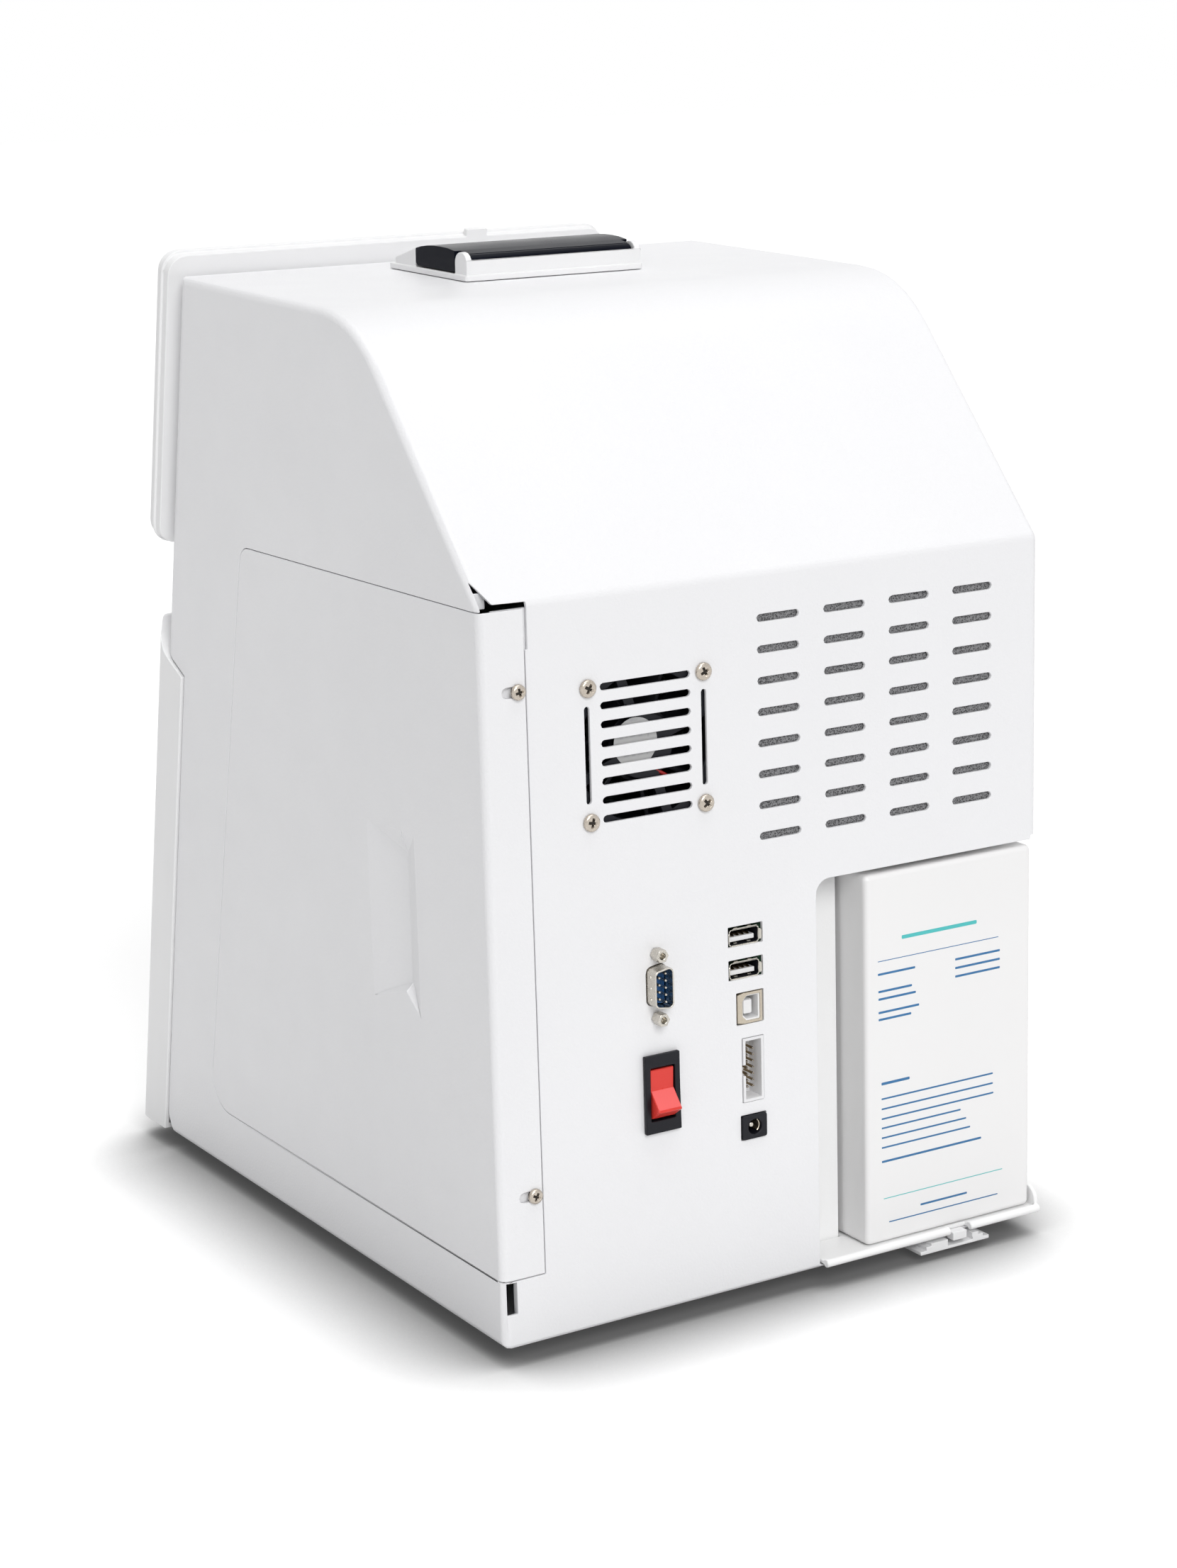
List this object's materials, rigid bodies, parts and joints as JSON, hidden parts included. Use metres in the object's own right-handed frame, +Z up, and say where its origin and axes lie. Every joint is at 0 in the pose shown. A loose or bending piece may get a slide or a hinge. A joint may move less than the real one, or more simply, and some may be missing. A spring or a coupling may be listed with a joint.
{
  "type": "blood gas analyzer",
  "caption": "Bench-top blood gas analyzer: sheet cabinet with sloped rear top, leaning touch display, hinged front door, service door, top printer and a reagent drawer at the rear corner.",
  "frame": {"origin": "on the table plane, below the middle of the object's width and depth", "axes": "+Z up, +Y out of the rear panel with its sockets, +X towards the wall with the service door"},
  "size_m": [0.2565, 0.3393, 0.404],
  "materials": {
    "white_paint": "satin powder coat with a fine orange peel",
    "white_moulding": "fine satin moulding",
    "foot_rubber": "matt",
    "nickel_steel": "nickel plated",
    "smoked_plastic": "polished smoke",
    "black_plastic": "fine texture",
    "red_plastic": "semi-gloss",
    "blue_plastic": "satin",
    "grey_foam": "open-cell filter foam",
    "green_laminate": "solder mask",
    "white_paper": "thermal paper",
    "dark_glass": "polished, dark when off",
    "beige_plastic": "satin",
    "grey_plastic": "satin",
    "pack_skin": "coated, slightly glossy",
    "clear_acrylic": "polished"
  },
  "bodies": {
    "cabinet": {"base_pan": "white_paint", "side_wall_right": "white_paint", "side_wall_left": "white_paint", "rear_panel": "white_paint", "top_cover": "white_paint", "front_frame": "white_paint", "door_strip": "white_paint", "foot_rear_right": "foot_rubber", "foot_rear_left": "foot_rubber", "foot_front_right": "foot_rubber", "foot_front_left": "foot_rubber", "fan_frame": "black_plastic", "fan_screw_1": "nickel_steel", "fan_screw_2": "nickel_steel", "fan_screw_3": "nickel_steel", "fan_screw_4": "nickel_steel", "vent_filter": "grey_foam", "switch_body": "black_plastic", "serial_shell": "nickel_steel", "serial_insert": "blue_plastic", "jackscrew_upper": "nickel_steel", "jackscrew_lower": "nickel_steel", "usb_a_stack": "nickel_steel", "usb_b": "nickel_steel", "box_header": "grey_plastic", "power_jack": "black_plastic", "interface_board": "green_laminate", "bay_partition": "white_paint", "bay_roof": "white_paint", "bay_back_wall": "white_paint", "catch_block": "white_moulding", "display_back": "white_moulding", "display_bezel": "white_moulding", "touch_glass": "dark_glass", "sampler_housing": "white_moulding", "printer_frame": "white_moulding", "door_hinge_lower": "nickel_steel", "door_hinge_upper": "nickel_steel", "sensor_block": "clear_acrylic", "sensor_rack": "beige_plastic", "pump_housing": "grey_plastic", "pinch_valve": "nickel_steel", "pump_motor": "nickel_steel", "power_supply": "grey_plastic", "main_board": "green_laminate"},
    "service_door": {"service_door": "white_paint", "door_screw_1": "nickel_steel", "door_screw_2": "nickel_steel"},
    "front_door": {"front_door": "white_moulding"},
    "printer_lid": {"printer_lid": "smoked_plastic"},
    "platen": {"platen_roller": "foot_rubber"},
    "paper": {"paper_roll": "white_paper"},
    "fan": {"fan_rotor": "black_plastic"},
    "rocker": {"switch_rocker": "red_plastic"},
    "sampler": {"sampler_lever": "blue_plastic", "sampler_needle": "nickel_steel"},
    "pump": {"pump_rotor": "black_plastic"},
    "drawer": {"reagent_drawer": "white_moulding", "reagent_pack": "pack_skin"},
    "tongue": {"latch_tongue": "beige_plastic"}
  },
  "joints": [
    {"name": "service_door_slide", "type": "slide", "parent": "cabinet", "child": "service_door", "axis": [0, 1, 0], "range_m": [0, 0.12]},
    {"name": "front_door_hinge", "type": "hinge", "parent": "cabinet", "child": "front_door", "pos_m": [-0.1232, -0.14639, 0.008], "axis": [0, -0.2181, -0.9759], "range_deg": [0, 95]},
    {"name": "printer_lid_hinge", "type": "hinge", "parent": "cabinet", "child": "printer_lid", "pos_m": [0, 0.00675, 0.39651], "axis": [-1, 0, 0], "range_deg": [0, 85]},
    {"name": "platen_spin", "type": "hinge", "parent": "printer_lid", "child": "platen", "pos_m": [0, -0.0247, 0.3958], "axis": [1, 0, 0], "continuous": true},
    {"name": "paper_spin", "type": "hinge", "parent": "cabinet", "child": "paper", "pos_m": [0, -0.01391, 0.36781], "axis": [1, 0, 0], "continuous": true},
    {"name": "fan_spin", "type": "hinge", "parent": "cabinet", "child": "fan", "pos_m": [0.057, 0.154, 0.2303], "axis": [0, 1, 0], "continuous": true},
    {"name": "rocker_tilt", "type": "hinge", "parent": "cabinet", "child": "rocker", "pos_m": [0.0548, 0.16321, 0.0962], "axis": [-1, 0, 0], "range_deg": [0, 25]},
    {"name": "sampler_swing", "type": "hinge", "parent": "cabinet", "child": "sampler", "pos_m": [-0.1015, -0.10243, 0.32238], "axis": [-1, 0, 0], "range_deg": [0, 55]},
    {"name": "pump_spin", "type": "hinge", "parent": "cabinet", "child": "pump", "pos_m": [-0.052, -0.12445, 0.08412], "axis": [0, 0.9759, -0.2181], "continuous": true},
    {"name": "drawer_slide", "type": "slide", "parent": "cabinet", "child": "drawer", "axis": [0, 1, 0], "range_m": [0, 0.15]},
    {"name": "tongue_press", "type": "slide", "parent": "drawer", "child": "tongue", "axis": [0, 0, -1], "range_m": [0, 0.0012], "stiffness_N_per_m": 300, "springref_m": -0.001}
  ]
}
